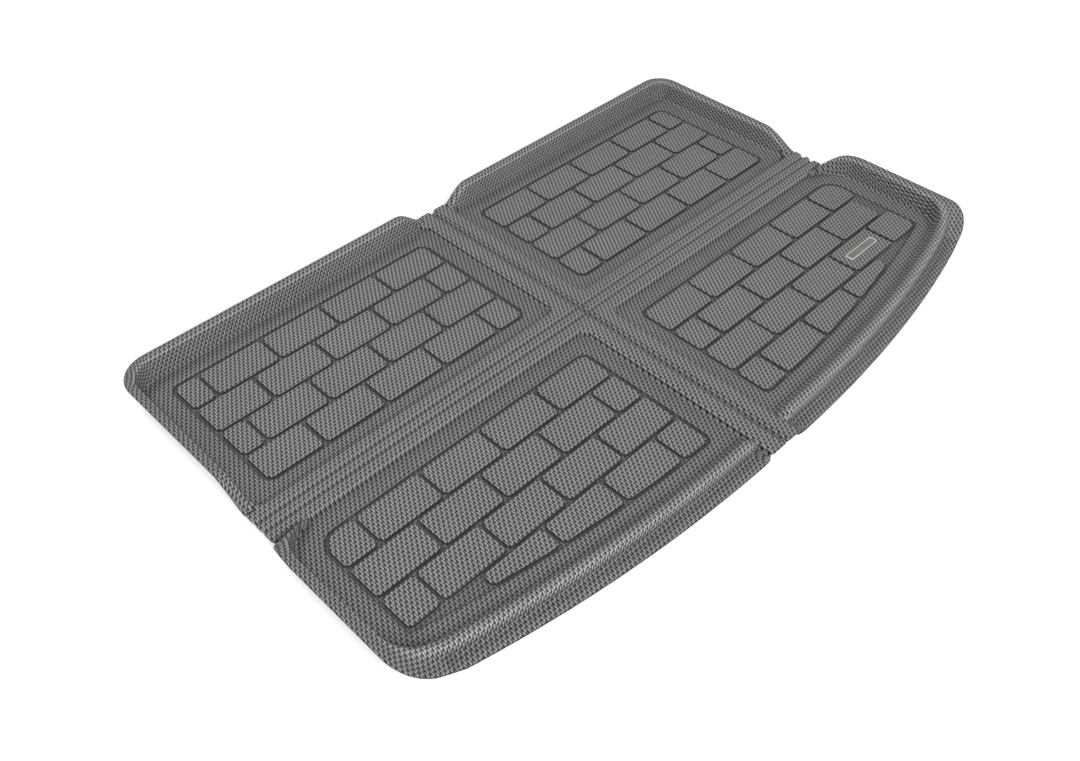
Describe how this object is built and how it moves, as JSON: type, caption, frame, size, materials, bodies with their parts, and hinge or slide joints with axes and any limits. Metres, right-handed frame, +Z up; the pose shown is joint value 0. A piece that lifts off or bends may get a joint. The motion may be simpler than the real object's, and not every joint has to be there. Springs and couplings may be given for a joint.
{
  "type": "car boot liner",
  "caption": "Moulded car boot liner in one flexible sheet: shallow trays with raised lips, block-pattern pads, a raised cross of fold lines and a bowed sill flange.",
  "frame": {"origin": "middle of the plan, on the surface the liner lies on", "axes": "+X across the boot, +Y towards the seats, +Z up; the bowed sill edge faces -Y"},
  "size_m": [1.0026, 0.6047, 0.0347],
  "materials": {
    "liner_sheet": "matt, with a fine woven emboss",
    "badge_metal": "satin"
  },
  "bodies": {
    "root": {"boot_liner": "liner_sheet", "badge_plate": "badge_metal"}
  },
  "joints": []
}
